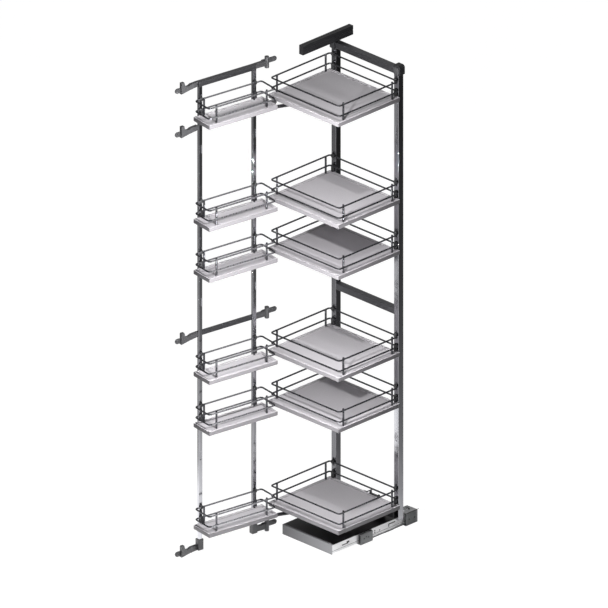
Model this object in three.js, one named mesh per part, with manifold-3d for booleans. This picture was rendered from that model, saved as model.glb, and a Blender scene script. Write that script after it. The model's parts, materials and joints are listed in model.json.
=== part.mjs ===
// Pull-out larder unit: a shelf frame on telescopic floor runners, and a second, shallower shelf
// frame that is screwed to the inside of the cupboard door and draws the first one out.
// Millimetres, +Z up, +Y into the cupboard. X = 0 is the middle of the cupboard, Y = 0 the front
// face of the shelf frame's uprights, and Z = 0 the cupboard floor.
import * as THREE from 'three';
import { mergeVertices } from 'three/addons/utils/BufferGeometryUtils.js';
import Module from 'manifold-3d';

const wasm = await Module();
wasm.setup();

// ---------- driving dimensions ----------
const seat = 0.3; // gap between pieces that touch

// shelf levels, shared by both frames
const levelPitch = 192; // spacing of the hook positions
const shelfLevels = [0, 2, 3, 5, 6, 8]; // hook positions that hold a shelf, from the bottom
const lowestShelf = 99; // underside of the lowest shelf above the floor

// shelf frame that slides
const frameWidth = 324; // over both uprights
const uprightWidth = 22;
const uprightDepth = 24;
const uprightFoot = 55;
const headRoom = 120; // from the highest shelf's underside to the top of the frame
const tubeWall = 1.5;
const hookSlotWidth = 7; // slots in the front wall of uprights and posts, at each hook position
const hookSlotHeight = 30;
const barHeight = 24; // cross bars of the shelf frame
const middleBarHeight = 836.5; // centre line

// shelves
const boardThickness = 15;
const deepShelfWidth = 338;
const deepShelfDepth = 296;
const doorShelfWidth = 288;
const doorShelfDepth = 92.5;
const rimWidth = 14;
const recessDepth = 2;
const edgeBreak = 1.2; // chamfer all round a board

// railings
const wireSize = 5;
const topWire = 75; // centre above the shelf's underside
const lowWire = 36.5;
const standardTop = 80; // top of the short standards that carry the wires
const wireBend = 9; // corner radius of a wire's centre line
const railSideInset = 4.5;
const railFrontInset = 7;
const railRearInset = 4;
const deepStandardSpacing = 235;
const doorStandardSpacing = 211.6;
const weldBite = 0.5; // how far a standard and a wire melt into each other

// floor runners
const runnerWidth = 239; // over the moving rails
const sheet = 1.5; // wall of rails, fascia and brackets
const baseHeight = 40;
const fasciaFront = -278.6;
const fasciaClear = 0.5; // under the fascia, above the feet's floor plates
const fasciaReturn = 8; // top fold
const fasciaHem = 2.5; // bottom fold, short enough to stop in front of the fixed rails
const runnerRest = 2; // in front of the fixed rails' ends when the unit is pushed in
const coverBack = 60;
const movingRailLength = 395;
const railBack = 6; // of the fixed rails, behind the moving ones with the unit pulled out
const feetFront = -165;
const frontFootLength = 73;
const rearFootLength = 56;
const runningGap = 0.5;
const footPlate = 2.7;

// top guide
const guideWidth = 19;
const guideHeight = 34;
const guideLength = 242;
const guideFront = -157;
const guideAboveFrame = 2;
const guideWall = 2;
const guideSlot = 8;
const grooveDepth = 0.8;
const slideBarLength = 230; // long enough to stay in the guide when the frame is pushed in
const slideBarHeight = 16;
const headDepth = 8; // block on the front of the left upright, under the guide
const headDrop = 22;
const capRise = 10;
const capCheek = 7;

// door frame, in the pose with the door shut
const doorOpening = 99.1; // degrees that the door stands open
const hingeX = -198;
const doorFaceY = -249.4; // inner face of the door
const hingeBehindFace = 17;
const doorPostWidth = 15;
const doorPostDepth = 10;
const doorPostSpacing = 227.4;
const doorPostFoot = 24;
const doorBarHeight = 18;
const doorBarDepth = 7.4;
const doorBarMiddle = 822; // centre lines of the middle bar and of the brackets on the posts
const doorBracketLow = 21;
const upperBracketDrop = 155; // below the top of the posts
const bracketTab = 4;
const bracketScrew = 16;

// link arms between the frames
const linkLength = 159.7;
const linkWidth = 20;
const linkThickness = 4;
const linkDrop = 9; // top of the strip below the shelves' undersides
const linkOnDoorSide = 115; // door pivot, from the middle of the door frame
const linkOnDoorDepth = 40; // door pivot, in front of a door shelf's back edge
const linkAngle = 65.7; // of an arm from its door pivot, from +X, with the door open
const linkPin = 10;

// ---------- sizes worked out from those ----------
const levelHeight = (level) => lowestShelf + level * levelPitch;
const topLevel = shelfLevels[shelfLevels.length - 1];
const frameTop = levelHeight(topLevel) + headRoom;
const halfFrame = frameWidth / 2;
const uprightX = halfFrame - uprightWidth / 2;
const doorPostBack = doorFaceY + doorBarDepth + seat;
const doorShelfBack = doorPostBack + doorPostDepth + seat;
const hingeY = doorFaceY - hingeBehindFace;
const radians = (degrees) => (degrees * Math.PI) / 180;

// ---------- shapes ----------
const roundedShape = (x0, x1, y0, y1, radius) => {
  const shape = new THREE.Shape();
  shape.moveTo(x0 + radius, y0);
  shape.lineTo(x1 - radius, y0);
  shape.absarc(x1 - radius, y0 + radius, radius, -Math.PI / 2, 0);
  shape.lineTo(x1, y1 - radius);
  shape.absarc(x1 - radius, y1 - radius, radius, 0, Math.PI / 2);
  shape.lineTo(x0 + radius, y1);
  shape.absarc(x0 + radius, y1 - radius, radius, Math.PI / 2, Math.PI);
  shape.lineTo(x0, y0 + radius);
  shape.absarc(x0 + radius, y0 + radius, radius, Math.PI, 1.5 * Math.PI);
  return shape;
};

const polygon = (points) => new THREE.Shape(points.map(([x, y]) => new THREE.Vector2(x, y)));

const rectangle = (x0, x1, y0, y1) => polygon([[x0, y0], [x1, y0], [x1, y1], [x0, y1]]);

const alongZ = (shape, z0, z1, steps = 4) => {
  const options = { depth: z1 - z0, bevelEnabled: false, curveSegments: steps };
  return new THREE.ExtrudeGeometry(shape, options).translate(0, 0, z0);
};

// a profile drawn in X and Z, run from y0 to y1
const alongY = (shape, y0, y1, steps = 4) =>
  alongZ(shape, 0, y1 - y0, steps).rotateX(Math.PI / 2).translate(0, y1, 0);

// a profile drawn in Y and Z, run from x0 to x1
const alongX = (shape, x0, x1) => {
  const turn = new THREE.Matrix4().makeBasis(
    new THREE.Vector3(0, 1, 0), new THREE.Vector3(0, 0, 1), new THREE.Vector3(1, 0, 0));
  return alongZ(shape, 0, x1 - x0).applyMatrix4(turn).translate(x0, 0, 0);
};

const block = (x0, x1, y0, y1, z0, z1) => alongZ(rectangle(x0, x1, y0, y1), z0, z1);

const upright = (diameter, x, y, z0, z1, sides = 8) =>
  new THREE.CylinderGeometry(diameter / 2, diameter / 2, z1 - z0, sides)
    .rotateX(Math.PI / 2).translate(x, y, (z0 + z1) / 2);

// ---------- solids ----------
const solidOf = (geometry) => {
  const bare = geometry.clone();
  bare.deleteAttribute('normal');
  bare.deleteAttribute('uv');
  const closed = mergeVertices(bare, 1e-4);
  return new wasm.Manifold(new wasm.Mesh({
    numProp: 3,
    vertProperties: new Float32Array(closed.attributes.position.array),
    triVerts: new Uint32Array(closed.index.array),
  }));
};

const geometryOf = (solid) => {
  const mesh = solid.getMesh();
  const geometry = new THREE.BufferGeometry();
  geometry.setAttribute('position', new THREE.BufferAttribute(mesh.vertProperties, 3));
  geometry.setIndex(new THREE.BufferAttribute(mesh.triVerts, 1));
  return geometry;
};

const joined = (...pieces) =>
  geometryOf(pieces.map(solidOf).reduce((whole, next) => whole.add(next)));

const cut = (piece, ...tools) =>
  geometryOf(tools.map(solidOf).reduce((whole, next) => whole.subtract(next), solidOf(piece)));

// ---------- finishes ----------
const finish = (color, roughness, metalness) =>
  new THREE.MeshStandardMaterial({ color, roughness, metalness });

const darkSteel = finish('#3c3c3e', 0.45, 0.7);
const brightSteel = finish('#8d8d8f', 0.35, 0.9);
const zincSteel = finish('#e2e2e4', 0.4, 0.8);
const blackSheet = finish('#0b0b0d', 0.5, 0.4);
const castGrey = finish('#7c7e7f', 0.6, 0.3);
const boardGrey = finish('#b9b5ba', 0.6, 0.0);
const wireSteel = finish('#45464a', 0.3, 0.9);

const unit = new THREE.Group();

const place = (parent, name, geometry, material) => {
  const mesh = new THREE.Mesh(geometry, material);
  mesh.name = name;
  parent.add(mesh);
};

// ---------- shelves and railings ----------
// A board lies on z = 0 between y = 0, its back edge, and y = -depth or +depth.
const shelfBoard = (width, y0, y1) => {
  const outline = rectangle(
    edgeBreak - width / 2, width / 2 - edgeBreak, y0 + edgeBreak, y1 - edgeBreak);
  const board = new THREE.ExtrudeGeometry(outline, {
    depth: boardThickness - 2 * edgeBreak,
    bevelSize: edgeBreak,
    bevelThickness: edgeBreak,
    bevelSegments: 1,
  }).translate(0, 0, edgeBreak);
  const inner = width / 2 - rimWidth;
  const recess = block(
    -inner, inner, y0 + rimWidth, y1 - rimWidth, boardThickness - recessDepth, boardThickness + 1);
  return cut(board, recess);
};

// A ring of round wire, faceted to eight sides, about the rectangle of its centre line.
const wireRing = (halfX, y0, y1, z) => {
  const facet = wireSize * (1 - Math.SQRT1_2) / 2;
  const flat = wireSize / 2 - facet;
  const outer = roundedShape(-halfX - flat, halfX + flat, y0 - flat, y1 + flat, wireBend + flat);
  outer.holes.push(
    roundedShape(-halfX + flat, halfX - flat, y0 + flat, y1 - flat, wireBend - flat));
  return new THREE.ExtrudeGeometry(outer, {
    depth: wireSize - 2 * facet,
    bevelSize: facet,
    bevelThickness: facet,
    bevelSegments: 1,
    curveSegments: 2,
  }).translate(0, 0, z - flat);
};

// Two wire rings, carried by four short standards that stand on the board's rim.
const railing = (halfX, y0, y1, standards) => joined(
  wireRing(halfX, y0, y1, topWire),
  wireRing(halfX, y0, y1, lowWire),
  ...standards.map(([x, y]) => upright(wireSize, x, y, boardThickness + seat, standardTop, 6)));

const inward = wireSize - weldBite; // a standard stands this far inside the wires

const deepRailing = () => {
  const halfX = deepShelfWidth / 2 - railSideInset;
  const front = railFrontInset - deepShelfDepth - seat;
  const back = -railRearInset - seat;
  const middle = (front + back) / 2;
  const standards = [-1, 1].flatMap((side) => [-1, 1].map((end) =>
    [side * (halfX - inward), middle + (end * deepStandardSpacing) / 2]));
  return railing(halfX, front, back, standards);
};

const doorRailing = () => {
  const halfX = doorShelfWidth / 2 - railSideInset;
  const front = doorShelfDepth - railFrontInset;
  const back = railRearInset;
  const standards = [-1, 1].flatMap((side) => [back + inward, front - inward].map((y) =>
    [(side * doorStandardSpacing) / 2, y]));
  return railing(halfX, back, front, standards);
};

const slidingFrame = new THREE.Group();
unit.add(slidingFrame);

shelfLevels.forEach((level, index) => {
  const shelf = new THREE.Group();
  shelf.position.z = levelHeight(level);
  place(shelf, `deep_shelf_${index + 1}`,
    shelfBoard(deepShelfWidth, -deepShelfDepth - seat, -seat), boardGrey);
  place(shelf, `deep_railing_${index + 1}`, deepRailing(), wireSteel);
  slidingFrame.add(shelf);
});

// ---------- the sliding frame's tubes ----------
const boxTube = (x0, x1, y0, y1) => {
  const shape = rectangle(x0, x1, y0, y1);
  shape.holes.push(rectangle(x0 + tubeWall, x1 - tubeWall, y0 + tubeWall, y1 - tubeWall));
  return shape;
};

// A shelf's top wire hooks into the slots of a wall, so they are centred on its height.
const hookSlots = (x, y0, y1) => Array.from({ length: topLevel + 1 }, (_, level) => {
  const middle = levelHeight(level) + topWire;
  return block(x - hookSlotWidth / 2, x + hookSlotWidth / 2, y0, y1,
    middle - hookSlotHeight / 2, middle + hookSlotHeight / 2);
});
const uprightTube = (x) => cut(
  alongZ(boxTube(x - uprightWidth / 2, x + uprightWidth / 2, 0, uprightDepth), uprightFoot, frameTop),
  ...hookSlots(x, -1, tubeWall + 1));
place(slidingFrame, 'upright_left', uprightTube(-uprightX), darkSteel);
place(slidingFrame, 'upright_right', uprightTube(uprightX), darkSteel);

const barReach = halfFrame - uprightWidth - seat;
const crossBar = (z0) => alongX(boxTube(0, uprightDepth, z0, z0 + barHeight), -barReach, barReach);

place(slidingFrame, 'top_bar', crossBar(frameTop - barHeight), darkSteel);
place(slidingFrame, 'middle_bar', crossBar(middleBarHeight - barHeight / 2), darkSteel);

// The foot bar stands on two pads on the runners' cover, and the uprights stand beside it.
const padInner = 40;
const padOuter = 76;
const padBite = 1; // the pads are welded into the bar
const footPad = (side) => block(
  Math.min(side * padInner, side * padOuter), Math.max(side * padInner, side * padOuter),
  0, uprightDepth, baseHeight + seat, uprightFoot + padBite);
place(slidingFrame, 'foot_bar', joined(crossBar(uprightFoot), footPad(-1), footPad(1)), darkSteel);

// A cap with a rounded shoulder closes the right upright and wraps its outer side.
const cornerCap = () => {
  const foot = frameTop + seat;
  const top = frameTop + capRise;
  const outer = halfFrame + capCheek;
  const shape = new THREE.Shape();
  shape.moveTo(halfFrame - uprightWidth, foot);
  shape.lineTo(halfFrame + seat, foot);
  shape.lineTo(halfFrame + seat, frameTop - barHeight);
  shape.lineTo(outer, frameTop - barHeight);
  shape.lineTo(outer, top - capRise);
  shape.absarc(outer - capRise, top - capRise, capRise, 0, Math.PI / 2);
  shape.lineTo(halfFrame - uprightWidth, top);
  return alongY(shape, 0, uprightDepth);
};
place(slidingFrame, 'corner_cap', cornerCap(), blackSheet);

// ---------- top guide ----------
// A channel fixed to the cupboard's ceiling above the left upright. It is open downwards between two
// lips and has a shallow groove along each side. A long slide bar runs in it on the upright.
const guideFoot = frameTop + guideAboveFrame;
const guideTop = guideFoot + guideHeight;
const grooveHalf = 2;
const grooveSlope = 1;
const guideProfile = () => {
  const half = guideWidth / 2;
  const inner = half - guideWall;
  const slot = guideSlot / 2;
  const middle = guideFoot + guideHeight / 2;
  const right = [
    [slot, guideFoot], [half, guideFoot], [half, middle - grooveHalf - grooveSlope],
    [half - grooveDepth, middle - grooveHalf], [half - grooveDepth, middle + grooveHalf],
    [half, middle + grooveHalf + grooveSlope], [half, guideTop],
  ];
  const inside = [
    [inner, guideTop - guideWall], [inner, guideFoot + guideWall], [slot, guideFoot + guideWall]];
  const flip = (points) => points.map(([x, z]) => [-x, z]).reverse();
  return polygon([...right, ...flip(right), ...flip(inside), ...inside]);
};
const guideEnd = () => block(
  -guideWidth / 2, guideWidth / 2, guideFront, guideFront + guideWall, guideFoot, guideTop);
place(unit, 'top_guide', joined(
  alongY(guideProfile(), guideFront, guideFront + guideLength), guideEnd())
  .translate(-uprightX, 0, 0), blackSheet);

const slideBarInset = (guideLength - slideBarLength) / 2;
const topRunner = () => {
  const half = guideWidth / 2 - guideWall - runningGap;
  const neck = guideSlot / 2 - runningGap;
  const foot = guideFoot + guideWall + runningGap;
  const front = guideFront + slideBarInset;
  return joined(
    block(-half, half, front, front + slideBarLength, foot, foot + slideBarHeight),
    block(-neck, neck, -headDepth - seat, uprightDepth, frameTop + seat, foot + 1),
    block(-uprightWidth / 2, uprightWidth / 2, -headDepth - seat, -seat,
      frameTop - headDrop, frameTop + guideAboveFrame / 2 + seat)).translate(-uprightX, 0, 0);
};
place(slidingFrame, 'top_runner', topRunner(), darkSteel);

// ---------- floor runners ----------
// Three rails nest sideways on each side: the fixed rail inside, the middle rail, and the moving
// rail outside. They are drawn for the right side, and turned round for the left.
const railOuter = runnerWidth / 2;
const railTop = baseHeight - sheet - seat;
const fixedNest = 13.5; // from a moving rail's outer web in to the fixed rail's web
const middleNest = 7.5; // and to the middle rail's web
const fixedFootRest = 1; // from a moving rail's outer web in to the fixed rail's foot
const lip = 2.5;
const movingFoot = 7;
const movingProfile = polygon([
  [railOuter, movingFoot], [railOuter, railTop], [railOuter - fixedNest, railTop],
  [railOuter - fixedNest, railTop - sheet], [railOuter - sheet, railTop - sheet],
  [railOuter - sheet, movingFoot + sheet], [railOuter - sheet - lip, movingFoot + sheet],
  [railOuter - sheet - lip, movingFoot],
]);
const middleWeb = railOuter - middleNest;
const middleReach = railOuter - sheet - runningGap;
const middleFoot = movingFoot + sheet + runningGap;
const middleTop = 33;
const middleProfile = polygon([
  [middleWeb, middleFoot], [middleReach, middleFoot], [middleReach, middleFoot + sheet],
  [middleWeb + sheet, middleFoot + sheet], [middleWeb + sheet, middleTop - sheet],
  [middleReach, middleTop - sheet], [middleReach, middleTop], [middleWeb, middleTop],
]);
const fixedWeb = railOuter - fixedNest;
const fixedFoot = footPlate + seat;
const fixedTop = 30;
const fixedProfile = polygon([
  [fixedWeb, fixedFoot], [railOuter - fixedFootRest, fixedFoot],
  [railOuter - fixedFootRest, fixedFoot + sheet],
  [fixedWeb + sheet, fixedFoot + sheet], [fixedWeb + sheet, fixedTop - sheet],
  [middleWeb - runningGap, fixedTop - sheet], [middleWeb - runningGap, fixedTop],
  [fixedWeb, fixedTop],
]);

// The link arms and the door set how far the frame travels between the door open and shut.
const shutPoint = (x, y) => new THREE.Vector2(x - hingeX, y - hingeY);
const turned = (point, degrees) =>
  point.clone().rotateAround(new THREE.Vector2(0, 0), radians(degrees))
    .add(new THREE.Vector2(hingeX, hingeY));
const doorPivotShut = shutPoint(-linkOnDoorSide, doorShelfBack + linkOnDoorDepth);
const doorPivotOpen = turned(doorPivotShut, -doorOpening);
const framePivot = new THREE.Vector2(
  doorPivotOpen.x + linkLength * Math.cos(radians(linkAngle)),
  doorPivotOpen.y + linkLength * Math.sin(radians(linkAngle)));
const pivotShut = turned(doorPivotShut, 0);
const travel = pivotShut.y - framePivot.y
  + Math.sqrt(linkLength ** 2 - (pivotShut.x - framePivot.x) ** 2);

const bothSides = (parent, name, profile, y0, y1, material) => {
  const right = alongY(profile, y0, y1);
  const left = right.clone().rotateZ(Math.PI).translate(0, y0 + y1, 0);
  place(parent, `${name}_left`, left, material);
  place(parent, `${name}_right`, right, material);
};

// With the unit pushed in, all the rails end just behind the fascia.
const movingFront = fasciaFront + sheet + seat;
const fixedRailFront = movingFront + travel + runnerRest;
const fixedRailBack = movingFront + movingRailLength + railBack;
const middleFront = fixedRailFront - travel / 2;
const middleBack = fixedRailBack - travel / 8;
bothSides(unit, 'fixed_rail', fixedProfile, fixedRailFront, fixedRailBack, zincSteel);
bothSides(unit, 'middle_rail', middleProfile, middleFront, middleBack, zincSteel);
bothSides(slidingFrame, 'moving_rail', movingProfile,
  movingFront, movingFront + movingRailLength, zincSteel);

// hollow foot beside the rails, with a floor plate under the fixed one's front end
const footInner = fixedWeb - 4;
const cheekInner = railOuter + runningGap;
const footOuter = 130;
const frontFootTop = 38;
const frontFootProfile = polygon([
  [footInner, 0], [footOuter, 0], [footOuter, frontFootTop - sheet],
  [footOuter - sheet, frontFootTop], [cheekInner, frontFootTop], [cheekInner, footPlate],
  [footInner, footPlate],
]);
frontFootProfile.holes.push(rectangle(
  cheekInner + sheet, footOuter - sheet, footPlate + sheet, frontFootTop - 2 * sheet));
bothSides(unit, 'front_foot', frontFootProfile, feetFront, feetFront + frontFootLength, castGrey);

// folded plate at the back: floor flange, side plate, and a shelf that reaches in over the rails
const rearShelfReach = 40;
const rearTop = 45;
const rearFootProfile = polygon([
  [footInner, 0], [footOuter, 0], [footOuter, rearTop],
  [railOuter - rearShelfReach, rearTop], [railOuter - rearShelfReach, rearTop - sheet],
  [footOuter - sheet, rearTop - sheet], [footOuter - sheet, footPlate], [footInner, footPlate],
]);
bothSides(unit, 'rear_foot', rearFootProfile, fixedRailBack - rearFootLength, fixedRailBack, castGrey);

// flat tie under both fixed rails, screwed to the floor
const tieWidth = 40;
const tieHole = 5;
const tieHoleX = 60;
place(unit, 'base_tie', cut(
  block(1 - railOuter, railOuter - 1, -tieWidth / 2, tieWidth / 2, 0, footPlate),
  upright(tieHole, -tieHoleX, 0, -1, footPlate + 1), upright(tieHole, tieHoleX, 0, -1, footPlate + 1)),
  zincSteel);

// folded fascia with a return at top and bottom, and the cover behind it
const fasciaBack = fasciaFront + fasciaReturn;
const fasciaHemBack = fasciaFront + fasciaHem;
const fasciaFoot = footPlate + fasciaClear;
place(slidingFrame, 'runner_fascia', alongX(polygon([
  [fasciaFront, fasciaFoot], [fasciaHemBack, fasciaFoot], [fasciaHemBack, fasciaFoot + sheet],
  [fasciaFront + sheet, fasciaFoot + sheet], [fasciaFront + sheet, baseHeight - sheet],
  [fasciaBack, baseHeight - sheet], [fasciaBack, baseHeight], [fasciaFront, baseHeight],
]), -railOuter, railOuter), brightSteel);
place(slidingFrame, 'runner_cover', block(
  -railOuter, railOuter, fasciaBack + seat, coverBack, baseHeight - sheet, baseHeight), blackSheet);

// ---------- door frame ----------
// Built with the door shut, in a group that turns about the door's hinge.
const doorHinge = new THREE.Group();
doorHinge.position.set(hingeX, hingeY, 0);
doorHinge.rotation.z = -radians(doorOpening);
unit.add(doorHinge);
const doorFrame = new THREE.Group();
doorFrame.position.set(-hingeX, -hingeY, 0);
doorHinge.add(doorFrame);

shelfLevels.forEach((level, index) => {
  const shelf = new THREE.Group();
  shelf.position.set(0, doorShelfBack, levelHeight(level));
  place(shelf, `door_shelf_${index + 1}`, shelfBoard(doorShelfWidth, 0, doorShelfDepth), boardGrey);
  place(shelf, `door_railing_${index + 1}`, doorRailing(), wireSteel);
  doorFrame.add(shelf);
});

const doorPostX = doorPostSpacing / 2;
const doorPostTop = frameTop;
const doorPostFront = doorPostBack + doorPostDepth;
const doorPostTube = (x) => cut(
  alongZ(boxTube(x - doorPostWidth / 2, x + doorPostWidth / 2, doorPostBack, doorPostFront),
    doorPostFoot, doorPostTop),
  ...hookSlots(x, doorPostFront - tubeWall - 1, doorPostFront + 1));
place(doorFrame, 'door_post_free', doorPostTube(doorPostX), darkSteel);
place(doorFrame, 'door_post_hinge', doorPostTube(-doorPostX), darkSteel);

// rolled channels: the top one lies on the posts, the middle one runs behind them
const doorBarEnd = doorPostX + doorPostWidth / 2;
const channel = (y0, y1, z0) => polygon([
  [y0, z0], [y1, z0], [y1, z0 + doorBarHeight], [y0, z0 + doorBarHeight],
  [y0, z0 + doorBarHeight - sheet], [y1 - sheet, z0 + doorBarHeight - sheet],
  [y1 - sheet, z0 + sheet], [y0, z0 + sheet],
]);
const topBarFoot = doorPostTop + seat;
place(doorFrame, 'door_bar_top', alongX(
  channel(doorFaceY, doorPostBack + doorPostDepth, topBarFoot), -doorBarEnd, doorBarEnd), darkSteel);
place(doorFrame, 'door_bar_middle', alongX(
  channel(doorFaceY, doorFaceY + doorBarDepth, doorBarMiddle - doorBarHeight / 2),
  -doorBarEnd, doorBarEnd), darkSteel);

// Fixing brackets, drawn for the +X side. Each is a cast arm with a tab that is screwed to the door.
// The free side's arm dips to an upright horn, and the hinge side's carries the adjusting screw.
const tabHeight = 18;
const armDepth = 11;
const slotWidth = 5;
const slotLength = 10;
const slotEnd = 6; // from the tab's round end
const barStart = doorBarEnd + seat;
const halfBar = doorBarHeight / 2;
const freeTab = { root: 133, end: 210, rise: -8 };
const hingeTab = { root: 150, end: 217, rise: 4 };
const hornIn = 177;
const hornOut = 189;
const hornRise = 21;
const hornSweep = [[3, 8], [9, 3], [18, 2], [28, 7]]; // arm's upper edge: before the horn, above z
const sagFrom = 25; // where the arm's lower edge starts to dip, before the horn
const sag = 4;
const screwX = 172;
const screwReach = 21;
const carrierEnd = 166;
const carrierRise = 10;

const freeArm = (z, start) => alongY(polygon([
  [start, z - halfBar], [hornIn - sagFrom, z - halfBar - sag], [hornOut, z - hornRise],
  [hornOut, z + hornRise], [hornIn, z + hornRise],
  ...hornSweep.map(([before, above]) => [hornIn - before, z + above]), [start, z + halfBar],
]), doorFaceY, doorFaceY + armDepth);

const hingeArm = (z, start) => joined(
  alongY(polygon([
    [start, z - halfBar], [carrierEnd, z - carrierRise], [carrierEnd, z + carrierRise],
    [start, z + halfBar],
  ]), doorFaceY, doorFaceY + armDepth),
  upright(bracketScrew, screwX, doorFaceY + bracketScrew / 2,
    z + 3 - screwReach, z + 3 + screwReach));

const bracket = (arm, tab, z, start, extra = [], tools = []) => {
  const middle = z + tab.rise;
  const plate = alongY(roundedShape(
    tab.root, tab.end, middle - tabHeight / 2, middle + tabHeight / 2, tabHeight / 2 - 0.1),
    doorFaceY, doorFaceY + bracketTab);
  const slot = alongY(roundedShape(
    tab.end - slotEnd - slotLength, tab.end - slotEnd, middle - slotWidth / 2,
    middle + slotWidth / 2, slotWidth / 2 - 0.1), doorFaceY - 1, doorFaceY + bracketTab + 1, 2);
  return cut(joined(arm(z, start), plate, ...extra), slot, ...tools);
};

// the lowest brackets have a socket that the posts stand in
const socketTop = 52;
const socketWall = 3;
const socketShell = () => block(
  doorPostX - doorPostWidth / 2 - socketWall, doorPostX + doorPostWidth / 2 + socketWall,
  doorFaceY + 2, doorPostBack + doorPostDepth + 2, doorBracketLow - doorBarHeight / 2, socketTop);
const socketBore = () => {
  const clear = doorPostWidth / 2 + seat;
  return block(doorPostX - clear, doorPostX + clear, doorPostBack - seat,
    doorPostBack + doorPostDepth + seat, doorPostFoot - seat, socketTop + 1);
};

const mirrored = (geometry) => {
  const copy = geometry.clone().scale(-1, 1, 1);
  const index = copy.index.array;
  for (let i = 0; i < index.length; i += 3) [index[i], index[i + 1]] = [index[i + 1], index[i]];
  return copy;
};

const bracketPlaces = [
  ['bottom', doorBracketLow, doorPostX, [socketShell()], [socketBore()]],
  ['middle', doorBarMiddle, barStart],
  ['upper', doorPostTop - upperBracketDrop, barStart],
  ['top', topBarFoot + halfBar, barStart],
];
for (const [label, ...settings] of bracketPlaces) {
  place(doorFrame, `door_bracket_${label}_free`, bracket(freeArm, freeTab, ...settings), castGrey);
  place(doorFrame, `door_bracket_${label}_hinge`,
    mirrored(bracket(hingeArm, hingeTab, ...settings)), castGrey);
}

// ---------- link arms ----------
// A flat strip with round ends, turning on a pin under a deep shelf. The pin at its other end meets
// the underside of the door shelf on the same level.
const linkArm = () => {
  const half = linkWidth / 2;
  const strip = alongZ(
    roundedShape(-half, linkLength + half, -half, half, half - 0.1), -linkThickness, 0, 4);
  const pin = (x) => upright(linkPin, x, 0, -linkThickness, linkDrop - seat);
  return joined(strip, pin(0), pin(linkLength));
};
const linkLevels = [['lower', shelfLevels[0]], ['upper', topLevel]];
for (const [label, level] of linkLevels) {
  const arm = new THREE.Group();
  arm.position.set(framePivot.x, framePivot.y, levelHeight(level) - linkDrop);
  arm.rotation.z = radians(linkAngle) + Math.PI;
  place(arm, `link_arm_${label}`, linkArm(), darkSteel);
  slidingFrame.add(arm);
}

export default unit;
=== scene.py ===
import json
import math

import bpy
from mathutils import Matrix, Vector


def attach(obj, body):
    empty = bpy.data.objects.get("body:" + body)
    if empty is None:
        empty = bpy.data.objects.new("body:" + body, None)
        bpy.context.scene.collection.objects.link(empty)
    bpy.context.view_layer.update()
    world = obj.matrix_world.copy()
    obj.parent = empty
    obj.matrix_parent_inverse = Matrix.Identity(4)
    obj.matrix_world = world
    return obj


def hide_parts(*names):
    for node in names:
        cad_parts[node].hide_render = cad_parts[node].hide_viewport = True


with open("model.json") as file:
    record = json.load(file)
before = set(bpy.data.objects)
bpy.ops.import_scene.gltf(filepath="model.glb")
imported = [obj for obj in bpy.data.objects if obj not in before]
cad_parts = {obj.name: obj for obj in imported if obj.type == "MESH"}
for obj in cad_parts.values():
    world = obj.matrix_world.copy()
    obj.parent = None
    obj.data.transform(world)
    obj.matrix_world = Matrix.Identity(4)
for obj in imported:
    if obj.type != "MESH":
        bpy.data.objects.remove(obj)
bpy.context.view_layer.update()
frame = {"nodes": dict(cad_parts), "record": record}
cadNodes = frame["nodes"]
print("frame loaded,", len(cadNodes), "nodes")

# everything below is in metres, +Z up, +Y into the cupboard, with the door stood open
hookLevels = {"lowest": 0.099, "pitch": 0.192}
mergeGap = 0.00001


def levelHeight(level):
    return hookLevels["lowest"] + hookLevels["pitch"] * level


shelfHeights = [levelHeight(level) for level in (0, 2, 3, 5, 6, 8)]
freeHeights = [levelHeight(level) for level in (1, 4, 7)]
doorHinge = {"x": -0.198, "y": -0.2664, "turn": math.radians(-99.1)}
hingePlace = Matrix.Translation((doorHinge["x"], doorHinge["y"], 0))
doorOpened = hingePlace @ Matrix.Rotation(doorHinge["turn"], 4, "Z") @ hingePlace.inverted()


# ---- finishes ----
def toLinear(hexColour):
    values = []
    for start in (1, 3, 5):
        value = int(hexColour[start:start + 2], 16) / 255
        values.append(value / 12.92 if value <= 0.04045 else ((value + 0.055) / 1.055) ** 2.4)
    return (*values, 1.0)


def addNode(tree, kind, settings=None, links=None):
    node = tree.nodes.new(kind)
    for name, value in (settings or {}).items():
        if name in node.inputs:
            node.inputs[name].default_value = value
        else:
            setattr(node, name, value)
    for name, source in (links or {}).items():
        tree.links.new(source, node.inputs[name])
    return node


def newMaterial(name, settings):
    material = bpy.data.materials.new(name)
    material.use_nodes = True
    shader = material.node_tree.nodes["Principled BSDF"]
    for socket, value in settings.items():
        shader.inputs[socket].default_value = value
    return material, material.node_tree, shader


def colourRamp(tree, pattern, dark, light):
    ramp = addNode(tree, "ShaderNodeValToRGB", links={"Fac": pattern})
    stops = ((0.3, dark), (0.7, light))
    for element, (position, colour) in zip(ramp.color_ramp.elements, stops):
        element.position = position
        element.color = toLinear(colour)
    return ramp.outputs["Color"]


def colourFromPattern(tree, shader, pattern, dark, light):
    tree.links.new(colourRamp(tree, pattern, dark, light), shader.inputs["Base Color"])


def roughnessFromPattern(tree, shader, pattern, low, high):
    spread = addNode(tree, "ShaderNodeMapRange", {"To Min": low, "To Max": high},
                     {"Value": pattern})
    tree.links.new(spread.outputs["Result"], shader.inputs["Roughness"])


def bumpFromPattern(tree, shader, pattern, depth, strength):
    bump = addNode(tree, "ShaderNodeBump", {"Strength": strength, "Distance": depth},
                   {"Height": pattern})
    tree.links.new(bump.outputs["Normal"], shader.inputs["Normal"])


def noiseOnObject(tree, scale, stretch=(1, 1, 1), detail=2.0):
    coordinates = addNode(tree, "ShaderNodeTexCoord")
    mapping = addNode(tree, "ShaderNodeMapping", {"Scale": stretch},
                      {"Vector": coordinates.outputs["Object"]})
    noise = addNode(tree, "ShaderNodeTexNoise", {"Scale": scale, "Detail": detail},
                    {"Vector": mapping.outputs["Vector"]})
    return noise.outputs["Fac"]


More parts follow.
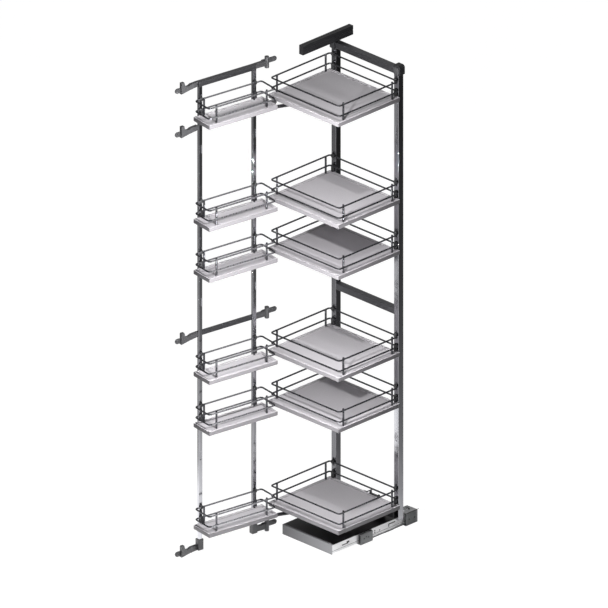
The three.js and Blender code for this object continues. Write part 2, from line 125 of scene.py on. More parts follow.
# melamine-faced board, pressed: an even pale grey with a very fine pearl and a satin sheen. A face
# attribute paints shade on it: its edges and the lines of its rim are painted darker.
def melamineBoard():
    material, tree, shader = newMaterial(
        "melamineFacedBoardPressed", {"IOR": 1.5, "Specular IOR Level": 0.35})
    pearl = noiseOnObject(tree, 1 / 0.0012)
    face = colourRamp(tree, pearl, "#c0bdc1", "#cecbcf")
    shadeMask = addNode(tree, "ShaderNodeAttribute", {"attribute_name": "paintedShade"})
    mixed = addNode(tree, "ShaderNodeMixRGB", {"Color2": toLinear("#6f6d70")},
                    {"Fac": shadeMask.outputs["Fac"], "Color1": face})
    tree.links.new(mixed.outputs["Color"], shader.inputs["Base Color"])
    roughnessFromPattern(tree, shader, pearl, 0.42, 0.54)
    bumpFromPattern(tree, shader, pearl, 0.00005, 0.25)
    return material


# steel wire, nickel plated and dark: round highlights, slightly uneven along its length. A face
# attribute paints a highlight on the door railings' long wires, which makes them lighter.
def platedWire():
    material, tree, shader = newMaterial("steelWireDarkNickelPlated", {"Metallic": 1.0})
    drawn = noiseOnObject(tree, 1 / 0.006)
    paintedHighlight = addNode(tree, "ShaderNodeAttribute", {"attribute_name": "paintedHighlight"})
    mixed = addNode(tree, "ShaderNodeMixRGB", {"Color2": toLinear("#a8a8ac")},
                    {"Fac": paintedHighlight.outputs["Fac"],
                     "Color1": colourRamp(tree, drawn, "#4e4e52", "#5c5c60")})
    tree.links.new(mixed.outputs["Color"], shader.inputs["Base Color"])
    roughnessFromPattern(tree, shader, drawn, 0.22, 0.34)
    return material


# steel tube, satin chromed: smooth, so it mirrors the floor's painted pool of light near its foot
# and darkens upwards
def chromedTube():
    material, tree, shader = newMaterial("steelTubeSatinChromed", {"Metallic": 1.0})
    haze = noiseOnObject(tree, 1 / 0.009, (1, 1, 0.12))
    colourFromPattern(tree, shader, haze, "#9a9a9e", "#a6a6aa")
    roughnessFromPattern(tree, shader, haze, 0.08, 0.13)
    return material


# steel, powder coated in a metallic dark grey: fine grain with a soft gloss
def coatedSteel(name, dark, light, metallic):
    material, tree, shader = newMaterial(name, {"Metallic": metallic})
    grain = noiseOnObject(tree, 1 / 0.0009)
    colourFromPattern(tree, shader, grain, dark, light)
    roughnessFromPattern(tree, shader, grain, 0.36, 0.46)
    bumpFromPattern(tree, shader, grain, 0.00001, 0.1)
    return material


# steel sheet, galvanised and burnished: almost white, with a faint cloudiness
def burnishedSheet():
    material, tree, shader = newMaterial("steelSheetZincPlated", {"Metallic": 0.35})
    cloud = noiseOnObject(tree, 1 / 0.012, (1, 0.3, 1))
    colourFromPattern(tree, shader, cloud, "#e4e4e6", "#f2f2f3")
    roughnessFromPattern(tree, shader, cloud, 0.28, 0.42)
    return material


# steel sheet, brushed along its length: fine lines. A painted highlight makes the colour lighter
# towards the right end.
def brushedSheet():
    material, tree, shader = newMaterial(
        "steelSheetBrushed", {"Metallic": 0.45, "Specular IOR Level": 0.3})
    lines = noiseOnObject(tree, 1 / 0.0009, (0.02, 1, 1), 3.0)  # real lines are finer than this
    coordinates = addNode(tree, "ShaderNodeTexCoord")
    axes = addNode(tree, "ShaderNodeSeparateXYZ", links={"Vector": coordinates.outputs["Object"]})
    along = addNode(tree, "ShaderNodeMapRange", {"From Min": -0.13, "From Max": 0.13},
                    {"Value": axes.outputs["X"]})
    # painted highlight: the colour runs from dark at the left end to light at the right end
    mixed = addNode(tree, "ShaderNodeMixRGB", {"Color2": toLinear("#8a8a8d")},
                    {"Fac": along.outputs["Result"],
                     "Color1": colourRamp(tree, lines, "#48484a", "#525254")})
    tree.links.new(mixed.outputs["Color"], shader.inputs["Base Color"])
    roughnessFromPattern(tree, shader, lines, 0.3, 0.45)
    bumpFromPattern(tree, shader, lines, 0.00002, 0.15)
    return material


# steel sheet or moulding, black and satin: nearly no colour, only a soft reflection
def blackSatin(name, colour, roughness):
    material, tree, shader = newMaterial(
        name, {"Roughness": roughness, "Specular IOR Level": 0.25})
    grain = noiseOnObject(tree, 1 / 0.0014)
    colourFromPattern(tree, shader, grain, colour, colour)
    bumpFromPattern(tree, shader, grain, 0.00005, 0.3)
    return material


# nylon, moulded: black and matt, with a fine spark-eroded texture
def mouldedNylon():
    material, tree, shader = newMaterial("nylonMouldedBlack", {"IOR": 1.53})
    texture = noiseOnObject(tree, 1 / 0.0009)
    colourFromPattern(tree, shader, texture, "#2a2a2c", "#363638")
    roughnessFromPattern(tree, shader, texture, 0.5, 0.65)
    bumpFromPattern(tree, shader, texture, 0.00006, 0.4)
    return material


# zinc die casting, painted: a slightly orange-peeled dark grey
def paintedCasting(name, dark, light):
    material, tree, shader = newMaterial(name, {"Metallic": 0.2})
    peel = noiseOnObject(tree, 1 / 0.0022)
    colourFromPattern(tree, shader, peel, dark, light)
    roughnessFromPattern(tree, shader, peel, 0.4, 0.55)
    bumpFromPattern(tree, shader, peel, 0.00008, 0.35)
    return material


finishes = {
    "board": melamineBoard(),
    "wire": platedWire(),
    "frame_tube": chromedTube(),
    "bar_dark": coatedSteel("steelTubePowderCoatedDark", "#57575a", "#606063", 0.9),
    "link_steel": coatedSteel("steelStripBlackened", "#2c2c2e", "#38383b", 0.6),
    "zinc": burnishedSheet(),
    "bright_sheet": brushedSheet(),
    "black_sheet": blackSatin("steelSheetBlackEnamelled", "#0a0a0b", 0.35),
    "black_profile": blackSatin("aluminiumProfileAnodisedBlack", "#28282a", 0.32),
    "clip_black": mouldedNylon(),
    "foot_grey": paintedCasting("zincCastingPaintedGrey", "#7a7c7d", "#8b8d8e"),
    "bracket_grey": paintedCasting("zincCastingPaintedDark", "#404042", "#4c4c4e"),
}
print("finishes made:", len(finishes))

# ---- nodes that keep their shape ----
darkBars = ("top_bar", "middle_bar", "foot_bar", "door_bar_top", "door_bar_middle", "top_runner")
edgeWidths = {
    0.0016: ("upright", "door_post", "top_bar", "middle_bar", "foot_bar", "corner_cap"),
    0.0012: ("door_bracket", "link_arm"),
    0.0006: ("top_guide", "door_bar", "front_foot", "rear_foot"),
    0.0003: ("runner_", "base_tie"),
}


def nodeFinish(part):
    if part["node"] in darkBars:
        return "bar_dark"
    return "frame_tube" if part["material_slot"] == "door_tube" else part["material_slot"]


for part in frame["record"]["subparts"]:
    node = cadNodes[part["node"]]
    node.data.materials.clear()
    node.data.materials.append(finishes[nodeFinish(part)])


def roundEdges(nodeName, width):
    node = cadNodes[nodeName]
    weld = node.modifiers.new("joinTriangles", "WELD")
    weld.merge_threshold = mergeGap
    bevel = node.modifiers.new("softEdges", "BEVEL")
    bevel.width = width
    bevel.segments = 3
    bevel.limit_method = "ANGLE"
    bevel.angle_limit = math.radians(40)
    bevel.harden_normals = True


for nodeName in cadNodes:
    for width, beginnings in edgeWidths.items():
        if nodeName.startswith(beginnings):
            roundEdges(nodeName, width)
print("node edges rounded")


# ---- modelling helpers ----
def clearSelection():
    if bpy.context.object and bpy.context.object.mode != "OBJECT":
        bpy.ops.object.mode_set(mode="OBJECT")
    bpy.ops.object.select_all(action="DESELECT")


def chooseOnly(piece):
    clearSelection()
    piece.select_set(True)
    bpy.context.view_layer.objects.active = piece


def applyPlace(piece):
    chooseOnly(piece)
    bpy.ops.object.transform_apply(location=True, rotation=True, scale=True)


def selectFaces(piece, wanted):
    # called in edit mode: leaves only the faces for which wanted(face) holds
    bpy.ops.mesh.select_all(action="DESELECT")
    bpy.ops.object.mode_set(mode="OBJECT")
    for face in piece.data.polygons:
        face.select = wanted(face)
    bpy.ops.object.mode_set(mode="EDIT")


def isTop(face):
    return face.normal.z > 0.9


def joinPieces(pieces):
    clearSelection()
    for piece in pieces:
        piece.select_set(True)
    bpy.context.view_layer.objects.active = pieces[0]
    bpy.ops.object.join()
    return bpy.context.object


smoothAngle = math.radians(35)


def finishPiece(piece, name, body, slotName, replaced=(), placed=None):
    applyPlace(piece)
    if placed:
        piece.matrix_world = placed
        applyPlace(piece)
    piece.name = name
    piece.data.name = name
    bpy.ops.object.shade_smooth_by_angle(angle=smoothAngle)
    piece.data.materials.clear()
    piece.data.materials.append(finishes[slotName])
    if replaced:
        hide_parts(*replaced)
    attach(piece, body)


def copyPiece(piece, rise, placed=None):
    copy = piece.copy()
    copy.data = piece.data.copy()
    bpy.context.scene.collection.objects.link(copy)
    lift = Matrix.Translation((0, 0, rise))
    copy.matrix_world = (placed or Matrix.Identity(4)) @ lift @ piece.matrix_world
    applyPlace(copy)
    return copy


def repeatAtShelves(deepModel, doorModel, kind, nodeKind, slotName):
    # puts a copy of each model at every shelf, and removes the models
    for index, height in enumerate(shelfHeights, 1):
        finishPiece(copyPiece(deepModel, height), f"deep{kind}{index}", "larder_frame", slotName,
                    [f"deep_{nodeKind}_{index}"])
        finishPiece(copyPiece(doorModel, height, doorOpened), f"door{kind}{index}", "door_frame",
                    slotName, [f"door_{nodeKind}_{index}"])
    bpy.data.objects.remove(deepModel)
    bpy.data.objects.remove(doorModel)


def depthAndMiddle(settings):
    front, back = settings["front"], settings["back"]
    return abs(back - front), (back + front) / 2


# ---- railings: two bent wires on four short standards ----
deepRailing = {
    "halfWidth": 0.1645, "front": -0.2893, "back": -0.0043, "paintedHighlight": 0.0,
    "standards": [(-0.16, -0.2643), (0.16, -0.2643), (-0.16, -0.0293), (0.16, -0.0293)],
}
doorRailing = {
    "halfWidth": 0.1395, "front": -0.1459, "back": -0.2274, "paintedHighlight": 1.0,
    "standards": [(x, y) for x in (-0.1058, 0.1058) for y in (-0.2229, -0.1504)],
}
railingWire = {"radius": 0.003, "resolution": 3, "bend": 0.009, "bendSegments": 5,
               "levels": (0.0365, 0.075)}
standardShape = {"radius": 0.0036, "sides": 16, "foot": 0.0149, "top": 0.08, "edge": 0.0009}


def addWireLoop(settings, height):
    clearSelection()
    depth, middle = depthAndMiddle(settings)
    bpy.ops.mesh.primitive_plane_add(size=1, location=(0, middle, height))
    wire = bpy.context.object
    wire.scale = (2 * settings["halfWidth"], depth, 1)
    applyPlace(wire)
    bpy.ops.object.mode_set(mode="EDIT")
    bpy.ops.mesh.select_all(action="SELECT")
    bpy.ops.mesh.bevel(offset=railingWire["bend"], segments=railingWire["bendSegments"],
                       affect="VERTICES")
    bpy.ops.mesh.delete(type="ONLY_FACE")
    bpy.ops.object.mode_set(mode="OBJECT")
    bpy.ops.object.convert(target="CURVE")
    wire = bpy.context.object
    wire.data.bevel_depth = railingWire["radius"]
    wire.data.bevel_resolution = railingWire["resolution"]
    bpy.ops.object.convert(target="MESH")
    wire = bpy.context.object
    # painted highlight: the door railings' long wires get a lighter colour
    paintedHighlight = wire.data.attributes.new("paintedHighlight", "FLOAT", "FACE")
    for face in wire.data.polygons:  # the long wires, without the bends and the short ends
        if abs(face.center.x) < settings["halfWidth"] - railingWire["bend"]:
            paintedHighlight.data[face.index].value = settings["paintedHighlight"]
    return wire


def addStandard(x, y):
    clearSelection()
    foot, top = standardShape["foot"], standardShape["top"]
    bpy.ops.mesh.primitive_cylinder_add(
        vertices=standardShape["sides"], radius=standardShape["radius"], depth=top - foot,
        location=(x, y, (top + foot) / 2))
    standard = bpy.context.object
    bpy.ops.object.mode_set(mode="EDIT")
    selectFaces(standard, isTop)
    bpy.ops.mesh.bevel(offset=standardShape["edge"], segments=3, affect="EDGES")
    bpy.ops.object.mode_set(mode="OBJECT")
    return standard


def addRailing(settings):
    pieces = [addWireLoop(settings, level) for level in railingWire["levels"]]
    pieces += [addStandard(x, y) for x, y in settings["standards"]]
    return joinPieces(pieces)


repeatAtShelves(addRailing(deepRailing), addRailing(doorRailing), "RailingWires", "railing",
                "wire")
print("railings made")

# ---- shelves: boards with a stepped rim ----
# The rim's insets, each with its width and its rise, are the outer flat, the groove's wall, floor
# and inner wall, the inner flat and the step down to the deck.
boardShape = {"thickness": 0.015, "edge": 0.0008, "smallestTop": 0.001,
              "rim": [(0.0042, 0.0), (0.0004, -0.0014), (0.0018, 0.0), (0.0004, 0.0009),
                      (0.0040, 0.0), (0.0012, -0.0015)]}
deepBoard = {"width": 0.338, "front": -0.2963, "back": -0.0003}
doorBoard = {"width": 0.288, "front": -0.1389, "back": -0.2314}
# how much painted shade a face gets, and how deep and how large the rim's faces are
edgeShade = {"side": 1.0, "front": 0.8, "rim": 0.55, "grooveDepth": 0.0013, "stepDepth": 0.0008,
             "largestStrip": 0.0008}


def addBoard(settings):
    clearSelection()
    depth, middle = depthAndMiddle(settings)
    thickness, edge = boardShape["thickness"], boardShape["edge"]
    bpy.ops.mesh.primitive_cube_add(size=1, location=(0, middle, thickness / 2))
    board = bpy.context.object
    board.scale = (settings["width"], depth, thickness)
    applyPlace(board)
    bpy.ops.object.mode_set(mode="EDIT")
    bpy.ops.mesh.select_all(action="SELECT")
    bpy.ops.mesh.bevel(offset=edge, segments=3, affect="EDGES")
    selectFaces(board,
                lambda face: face.normal.z > 0.99 and face.area > boardShape["smallestTop"])
    for width, rise in boardShape["rim"]:
        bpy.ops.mesh.inset(thickness=width, depth=rise)
    bpy.ops.object.mode_set(mode="OBJECT")
    # painted shade: full on the side edges and the groove's walls, less on the front and back
    # edges, least on the groove's floor and the step
    shadeMask = board.data.attributes.new("paintedShade", "FLOAT", "FACE")
    for face in board.data.polygons:
        upright = abs(face.normal.z) < 0.5
        atSide = abs(face.center.x) > settings["width"] / 2 - edge
        atFront = abs(face.center.y - middle) > depth / 2 - edge
        inGroove = (face.center.z < thickness - edgeShade["grooveDepth"]
                    and face.area < edgeShade["largestStrip"])
        onStep = (0.5 < face.normal.z < 0.8
                  and face.center.z < thickness - edgeShade["stepDepth"])
        if upright and (atSide or inGroove):
            shadeMask.data[face.index].value = edgeShade["side"]
        elif upright and atFront:
            shadeMask.data[face.index].value = edgeShade["front"]
        elif inGroove or onStep:
            shadeMask.data[face.index].value = edgeShade["rim"]
    return board


repeatAtShelves(addBoard(deepBoard), addBoard(doorBoard), "ShelfBoard", "shelf", "board")
print("shelves made")


# ---- small fittings ----
def addBlock(low, high, edge=0.0006, segments=2):
    clearSelection()
    low, high = Vector(low), Vector(high)
    bpy.ops.mesh.primitive_cube_add(size=1, location=(low + high) / 2)
    block = bpy.context.object
    block.scale = high - low
    applyPlace(block)
    bpy.ops.object.mode_set(mode="EDIT")
    bpy.ops.mesh.select_all(action="SELECT")
    bpy.ops.mesh.bevel(offset=edge, segments=segments, affect="EDGES")
    bpy.ops.object.mode_set(mode="OBJECT")
    return block


def addOnSide(side, x, y, z, edge, segments=1):
    # a block between the pairs x, y and z, with x mirrored to the side
    x0, x1 = sorted(side * value for value in x)
    return addBlock((x0, y[0], z[0]), (x1, y[1], z[1]), edge, segments)


def addRound(place, axis, settings):
    # a disc or peg that starts at place and runs along axis, with a socket where settings has one
    clearSelection()
    radius, depth, edge = settings["radius"], settings["depth"], settings["edge"]
    turn = Vector(axis).to_track_quat("Z", "Y").to_matrix().to_4x4()
    bpy.ops.mesh.primitive_cylinder_add(vertices=settings["sides"], radius=radius, depth=depth,
                                        location=(0, 0, depth / 2))
    peg = bpy.context.object
    applyPlace(peg)
    bpy.ops.object.mode_set(mode="EDIT")
    selectFaces(peg, isTop)
    bpy.ops.mesh.bevel(offset=edge, segments=3, affect="EDGES")
    if "socket" in settings:
        selectFaces(peg, lambda face: face.normal.z > 0.99 and face.area > radius * radius)
        bpy.ops.mesh.inset(thickness=radius - edge - settings["socket"])
        bpy.ops.mesh.inset(thickness=0.0002, depth=-depth * 0.6)
    bpy.ops.object.mode_set(mode="OBJECT")
    peg.matrix_world = Matrix.Translation(place) @ turn
    applyPlace(peg)
    return peg


# clips that hold the wires to the uprights and to the door posts: a small one on the top wire and
# one that reaches down nearly to the shelf on the low wire
clipShape = {"spans": ((0.0690, 0.0815), (0.0160, 0.0415)), "edge": 0.0018, "segments": 3}
deepClip = {"x": 0.151, "width": 0.0115, "low": -0.0084, "high": -0.0003}
doorClip = {"x": 0.1137, "width": 0.0105, "low": -0.2315, "high": -0.2238}


def addClips(settings, name, body, placed):
    half = settings["width"] / 2
    for index, height in enumerate(shelfHeights, 1):
        clips = [addBlock((x - half, settings["low"], height + foot),
                          (x + half, settings["high"], height + top),
                          clipShape["edge"], clipShape["segments"])
                 for x in (-settings["x"], settings["x"]) for foot, top in clipShape["spans"]]
        finishPiece(joinPieces(clips), f"{name}{index}", body, "clip_black", placed=placed)


addClips(deepClip, "deepWireClips", "larder_frame", None)
addClips(doorClip, "doorWireClips", "door_frame", doorOpened)

# front plate of the corner joint at the top of the right upright
cornerPlate = {"low": (0.1405, -0.0016, 1.7285), "high": (0.1625, -0.0002, 1.7560)}
plate = addBlock(cornerPlate["low"], cornerPlate["high"])
finishPiece(plate, "cornerJointPlate", "larder_frame", "bracket_grey")

# end caps in the door's top channel
endCap = {"starts": (-0.1210, 0.1196), "length": 0.0014, "y": (-0.2490, -0.2334),
          "z": (1.7570, 1.7716), "edge": 0.0003}
caps = [addOnSide(1, (start, start + endCap["length"]), endCap["y"], endCap["z"], endCap["edge"],
                  2) for start in endCap["starts"]]
finishPiece(joinPieces(caps), "doorBarEndCaps", "door_frame", "bar_dark", placed=doorOpened)

# the shelves' hooks, whose tongues close the slots in uprights and posts from within, and the
# plates that close the free slots
hookTongue = {"halfWidth": 0.0042, "foot": 0.0580, "top": 0.0920, "edge": 0.0003}
deepTongue = {"x": deepClip["x"], "low": 0.0016, "high": 0.0028}
doorTongue = {"x": doorClip["x"], "low": -0.2344, "high": -0.2333}


def addTongues(settings, name, body, heights, slotName, placed):
    half, foot, top = hookTongue["halfWidth"], hookTongue["foot"], hookTongue["top"]
    tongues = [addBlock((x - half, settings["low"], height + foot),
                        (x + half, settings["high"], height + top), hookTongue["edge"], 1)
               for x in (-settings["x"], settings["x"]) for height in heights]
    finishPiece(joinPieces(tongues), name, body, slotName, placed=placed)


for settings, name, body, placed in (
        (deepTongue, "deepShelf", "larder_frame", None),
        (doorTongue, "doorShelf", "door_frame", doorOpened)):
    addTongues(settings, f"{name}Hooks", body, shelfHeights, "bar_dark", placed)
    addTongues(settings, f"{name}SlotPlates", body, freeHeights, "frame_tube", placed)

# pins of the link arms, with a head under each strip
linkPin = {"radius": 0.007, "depth": 0.0022, "edge": 0.0008, "sides": 24, "belowLevel": 0.013,
           "places": ((-0.07135, -0.21467), (-0.13707, -0.36022))}
for label, level in (("Lower", 0), ("Upper", 8)):
    z = levelHeight(level) - linkPin["belowLevel"]
    heads = [addRound((x, y, z), (0, 0, -1), linkPin) for x, y in linkPin["places"]]
    finishPiece(joinPieces(heads), f"linkPinHeads{label}", f"link_{label.lower()}", "zinc")

# pan-head screws in the brackets' slots: at each height one on the free side and one on the hinge
# side, each with its place along X and its rise
bracketScrew = {"radius": 0.0062, "depth": 0.0022, "edge": 0.0012, "sides": 24, "socket": 0.0016,
                "face": -0.2454, "places": ((0.199, -0.008), (-0.206, 0.004)),
                "heights": {"Bottom": 0.021, "Middle": 0.822, "Upper": 1.600, "Top": 1.7643}}
for label, height in bracketScrew["heights"].items():
    heads = [addRound((x, bracketScrew["face"], height + rise), (0, 1, 0), bracketScrew)
             for x, rise in bracketScrew["places"]]
    finishPiece(joinPieces(heads), f"bracketScrews{label}", "door_frame", "bracket_grey",
                placed=doorOpened)
print("clips and screws made")

# marks on the moving rails' outer webs: a pressed line, a lever, a stop slot and punched holes
railMark = {
    "web": 0.1195, "sunk": 0.0003, "proud": 0.0002, "edge": 0.00008,
    "line": ((-0.2766, 0.1180), (0.0147, 0.0159)),
    "leverFoot": ((-0.2300, -0.2000), (0.0215, 0.0255)),
    "leverTip": ((-0.2080, -0.1950), (0.0245, 0.0310)),
    "slotUp": ((-0.0065, -0.0025), (0.0190, 0.0308)),
    "slotAlong": ((-0.0065, 0.0265), (0.0270, 0.0308)),
}
railHole = {"radius": 0.0025, "depth": 0.0004, "edge": 0.0001, "sides": 16, "sunk": 0.0002,
            "places": ((-0.084, 0.0170), (-0.084, 0.0235), (-0.072, 0.0200), (-0.072, 0.0270),
                       (-0.0485, 0.0215))}
markDepth = (railMark["web"] - railMark["sunk"], railMark["web"] + railMark["proud"])
for side, label in ((1, "Right"), (-1, "Left")):
    marks = [addOnSide(side, markDepth, *railMark[mark], railMark["edge"])
             for mark in ("line", "leverFoot", "leverTip", "slotUp", "slotAlong")]
    marks += [addRound((side * (railMark["web"] - railHole["sunk"]), y, z), (side, 0, 0), railHole)
              for y, z in railHole["places"]]
    finishPiece(joinPieces(marks), f"railMarks{label}", "larder_frame", "clip_black")

# front feet, which end further back than their solids and are plugged, dark strips under the
# fixed rails that paint the rails' contact shadow, and the feet's screws
footSide = 0.13
frontFoot = {"end": -0.15, "solidEnd": -0.165, "reach": 0.001}
footPlug = {"x": (0.1216, 0.1284), "beyondEnd": (0.0002, 0.0030), "z": (0.0046, 0.0346),
            "edge": 0.0004}
railShadowStrip = {"x": (0.1187, 0.1193), "y": (-0.0900, 0.0680), "z": (0.0020, 0.0042), "edge": 0.0002}
footScrew = {"radius": 0.0026, "depth": 0.0010, "edge": 0.0004, "sides": 20, "socket": 0.0011,
             "places": ((-0.134, 0.020), (-0.123, 0.024), (-0.112, 0.020), (0.084, 0.022),
                        (0.110, 0.022))}


def copySolid(nodeName, chosen, shift):
    # a copy of a node's mesh with the vertices moved for which chosen(place) holds
    node = cadNodes[nodeName]
    piece = bpy.data.objects.new(node.name, node.data.copy())
    bpy.context.scene.collection.objects.link(piece)
    chooseOnly(piece)
    bpy.ops.object.mode_set(mode="EDIT")
    bpy.ops.mesh.select_all(action="SELECT")
    bpy.ops.mesh.remove_doubles(threshold=mergeGap)
    bpy.ops.mesh.select_all(action="DESELECT")
    bpy.ops.object.mode_set(mode="OBJECT")
    for vertex in piece.data.vertices:
        vertex.select = chosen(vertex.co)
    bpy.ops.object.mode_set(mode="EDIT")
    bpy.ops.mesh.select_mode(type="VERT")
    bpy.ops.transform.translate(value=shift)
    bpy.ops.mesh.select_mode(type="FACE")
    bpy.ops.object.mode_set(mode="OBJECT")
    return piece


for side, label in ((1, "Right"), (-1, "Left")):
    nodeName = f"front_foot_{label.lower()}"
    foot = copySolid(nodeName,
                     lambda place: place.y < frontFoot["solidEnd"] + frontFoot["reach"],
                     (0, frontFoot["end"] - frontFoot["solidEnd"], 0))
    finishPiece(foot, f"frontFootCasting{label}", "cabinet_rails", "foot_grey", [nodeName])
    plugEnds = [frontFoot["end"] + beyond for beyond in footPlug["beyondEnd"]]
    plug = addOnSide(side, footPlug["x"], plugEnds, footPlug["z"], footPlug["edge"], 2)
    finishPiece(plug, f"frontFootPlug{label}", "cabinet_rails", "clip_black")
    # a dark strip under the fixed rail: a painted contact shadow
    shadowStrip = addOnSide(side, railShadowStrip["x"], railShadowStrip["y"], railShadowStrip["z"], railShadowStrip["edge"])
    finishPiece(shadowStrip, f"railContactShadow{label}", "cabinet_rails", "clip_black")
    screws = [addRound((side * footSide, y, z), (side, 0, 0), footScrew)
              for y, z in footScrew["places"]]
    finishPiece(joinPieces(screws), f"footScrews{label}", "cabinet_rails", "bracket_grey")

# the left rear foot is a low angle without the solid's shelf, because the photograph shows nothing
# of it above the lowest shelf
rearFoot = {"wall": 0.0015, "height": 0.028, "start": 0.0682, "end": 0.1242, "edge": 0.0003,
            "flangeOuter": 0.0010, "flangeInner": 0.1145, "flange": 0.0027}
lowAngle = [
    addBlock((-footSide, rearFoot["start"], 0.0),
             (-footSide + rearFoot["wall"], rearFoot["end"], rearFoot["height"]),
             rearFoot["edge"], 1),
    addBlock((-footSide + rearFoot["flangeOuter"], rearFoot["start"], 0.0),
             (-rearFoot["flangeInner"], rearFoot["end"], rearFoot["flange"]),
             rearFoot["edge"], 1),
]
finishPiece(joinPieces(lowAngle), "rearFootCastingLeft", "cabinet_rails", "foot_grey",
            ["rear_foot_left"])

# the right rear foot carries a bright plate between two dark edge strips, with two pegs on it
rearPlate = {"inner": 0.099, "y": (0.0690, 0.1236), "z": (0.0452, 0.0462), "edge": 0.0002}
rearStrip = {"z": (0.0452, 0.0474), "edge": 0.0003}
rearPegs = {
    (0.1078, 0.1042): {"radius": 0.0032, "depth": 0.0022, "edge": 0.0008, "sides": 24},
    (0.1035, 0.0900): {"radius": 0.0022, "depth": 0.0016, "edge": 0.0006, "sides": 24},
}
plate = addOnSide(1, (rearPlate["inner"], footSide - rearFoot["wall"]), rearPlate["y"],
                  rearPlate["z"], rearPlate["edge"])
finishPiece(plate, "rearFootPlateRight", "cabinet_rails", "zinc")
strips = [addOnSide(1, x, y, rearStrip["z"], rearStrip["edge"])
          for x, y in (((0.1286, 0.1298), (0.0600, 0.1300)),
                       ((rearPlate["inner"], 0.1002), (0.0620, 0.1080)))]
strips += [addRound((x, y, rearPlate["z"][1]), (0, 0, 1), settings)
           for (x, y), settings in rearPegs.items()]
finishPiece(joinPieces(strips), "rearFootStripsRight", "cabinet_rails", "clip_black")

# push latch behind the lowest deep shelf's low wire
latchBlocks = {
    "body": ((0.0375, -0.0088, 0.1150), (0.0745, -0.0036, 0.1212), 0.0012, 3),
    "head": ((0.0680, -0.0120, 0.1131), (0.0760, -0.0020, 0.1240), 0.0015, 3),
    "rod": ((0.0295, -0.0245, 0.1262), (0.0330, 0.0090, 0.1292), 0.0008, 2),
    "arm": ((0.0300, -0.0088, 0.1155), (0.0385, -0.0040, 0.1290), 0.0010, 2),
}
latch = [addBlock(*block) for block in latchBlocks.values()]
finishPiece(joinPieces(latch), "pushLatch", "larder_frame", "clip_black")
print("runner details made")


# ---- floor, light and camera ----
def mathNode(tree, operation, first, second):
    # first and second are numbers or sockets
    node = addNode(tree, "ShaderNodeMath", {"operation": operation})
    for socket, value in zip(node.inputs, (first, second)):
        if isinstance(value, (int, float)):
            socket.default_value = value
        else:
            tree.links.new(value, socket)
    return node.outputs["Value"]


def mixToOutput(tree, share, first, second, outputKind):
    mixed = addNode(tree, "ShaderNodeMixShader", links={"Fac": share})
    tree.links.new(first, mixed.inputs[1])
    tree.links.new(second, mixed.inputs[2])
    addNode(tree, outputKind, links={"Surface": mixed.outputs["Shader"]})


# paper sweep, matt: plain white to the camera. To match the photograph's reflections, reflected
# rays see a painted pool of light in front of the unit: the pool's middle lies on x + y = centre,
# it fades quickly behind it and slowly before it, and it ends on its left along a diagonal.
floorShape = {"size": 60, "height": -0.0006}
pool = {"centre": -1.1, "behind": (1.2, 2.6), "before": (2.0, 1.5), "peak": 2.7, "toCamera": 1.13,
        "diagonal": (0.02, 0.14), "leftShare": 0.25, "cover": 0.88}
clearSelection()
bpy.ops.mesh.primitive_plane_add(size=floorShape["size"], location=(0, 0, floorShape["height"]))
floor = bpy.context.object
floor.name = "studioFloor"
floorMaterial = bpy.data.materials.new("paperSweepMatt")
floorMaterial.use_nodes = True
floorTree = floorMaterial.node_tree
floorTree.nodes.clear()
paper = addNode(floorTree, "ShaderNodeBsdfDiffuse", {"Color": toLinear("#f4f4f4")})
path = addNode(floorTree, "ShaderNodeLightPath")
place = addNode(floorTree, "ShaderNodeTexCoord")
axes = addNode(floorTree, "ShaderNodeSeparateXYZ", links={"Vector": place.outputs["Object"]})
forward = mathNode(floorTree, "ADD", axes.outputs["X"], axes.outputs["Y"])
along = mathNode(floorTree, "SUBTRACT", forward, pool["centre"])
fade = 1.0
for sign, (reach, falloff) in ((1, pool["behind"]), (-1, pool["before"])):
    scaled = mathNode(floorTree, "MULTIPLY", along, sign / reach)
    oneSide = mathNode(floorTree, "MAXIMUM", scaled, 0.0)
    fade = mathNode(floorTree, "ADD", mathNode(floorTree, "POWER", oneSide, falloff), fade)
sideways = mathNode(floorTree, "SUBTRACT", axes.outputs["X"], axes.outputs["Y"])
across = addNode(floorTree, "ShaderNodeMapRange", {
    "From Min": pool["diagonal"][0], "From Max": pool["diagonal"][1], "To Min": pool["leftShare"]},
    {"Value": sideways})
strength = mathNode(floorTree, "DIVIDE", pool["peak"], fade)
poolLight = mathNode(floorTree, "MULTIPLY", across.outputs["Result"], strength)
reflected = mathNode(floorTree, "MULTIPLY", path.outputs["Is Glossy Ray"], poolLight)
direct = mathNode(floorTree, "MULTIPLY", path.outputs["Is Camera Ray"], pool["toCamera"])
glow = addNode(floorTree, "ShaderNodeEmission", {"Color": (1, 1, 1, 1)},
               {"Strength": mathNode(floorTree, "ADD", direct, reflected)})
seen = mathNode(floorTree, "MAXIMUM", path.outputs["Is Camera Ray"], path.outputs["Is Glossy Ray"])
share = mathNode(floorTree, "MULTIPLY", seen, pool["cover"])
mixToOutput(floorTree, share, paper.outputs["BSDF"], glow.outputs["Emission"],
            "ShaderNodeOutputMaterial")
floor.data.materials.append(floorMaterial)

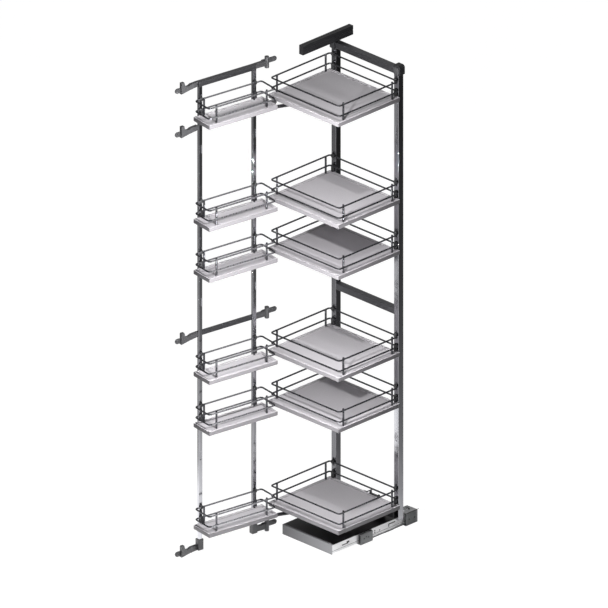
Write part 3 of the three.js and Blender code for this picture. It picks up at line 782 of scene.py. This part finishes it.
# the room is white to the camera, partly white in reflections, and dim to everything else
roomLight = {"dim": 0.06, "reflectedShare": 0.4}
world = bpy.data.worlds.new("studioRoom")
bpy.context.scene.world = world
world.use_nodes = True
worldTree = world.node_tree
worldTree.nodes.clear()
room = addNode(worldTree, "ShaderNodeBackground",
               {"Color": toLinear("#e8e8ea"), "Strength": roomLight["dim"]})
white = addNode(worldTree, "ShaderNodeBackground", {"Color": (1, 1, 1, 1), "Strength": 1.0})
worldPath = addNode(worldTree, "ShaderNodeLightPath")
glossyShare = mathNode(worldTree, "MULTIPLY", worldPath.outputs["Is Glossy Ray"],
                       roomLight["reflectedShare"])
whiteShare = mathNode(worldTree, "MAXIMUM", worldPath.outputs["Is Camera Ray"], glossyShare)
mixToOutput(worldTree, whiteShare, room.outputs["Background"], white.outputs["Background"],
            "ShaderNodeOutputWorld")

# small lamps on one stand in front of the unit on its right, and two soft panels
lampStand = {"x": 0.446, "y": -0.782, "radius": 0.012,
             "powers": {0.7: 5.5, 1.049: 27.5, 1.742: 25, 2.0: 9, 2.427: 20}}
for height, power in lampStand["powers"].items():
    clearSelection()
    bpy.ops.object.light_add(type="POINT", location=(lampStand["x"], lampStand["y"], height))
    lamp = bpy.context.object
    lamp.name = f"standLamp{round(height * 1000)}"
    lamp.data.shadow_soft_size = lampStand["radius"]
    lamp.data.energy = power

panelAim = Vector((0, -0.25, 0.85))
panels = {
    "panelInFront": {"place": (-0.6, -4.4, 1.8), "size": 2.4, "power": 39},
    "panelAbove": {"place": (0.3, -0.8, 4.6), "size": 2.6, "power": 6},
}
for name, settings in panels.items():
    clearSelection()
    bpy.ops.object.light_add(type="AREA", location=settings["place"])
    lamp = bpy.context.object
    lamp.name = name
    lamp.data.size = settings["size"]
    lamp.data.energy = settings["power"]
    lamp.rotation_euler = (panelAim - lamp.location).to_track_quat("-Z", "Y").to_euler()

viewpoint = {"turn": 45, "rise": 25, "distance": 6.0, "aim": (0, -0.294, 0.9135), "width": 2.0744,
             "farEnd": 60}
turn, rise = math.radians(viewpoint["turn"]), math.radians(viewpoint["rise"])
away = Vector((math.sin(turn) * math.cos(rise), -math.cos(turn) * math.cos(rise), math.sin(rise)))
bpy.ops.object.camera_add(location=Vector(viewpoint["aim"]) + away * viewpoint["distance"])
camera = bpy.context.object
camera.rotation_euler = (-away).to_track_quat("-Z", "Y").to_euler()
camera.data.type = "ORTHO"
camera.data.ortho_scale = viewpoint["width"]
camera.data.clip_end = viewpoint["farEnd"]
bpy.context.scene.camera = camera
bpy.context.scene.view_settings.view_transform = "Standard"
print("stage and camera set")
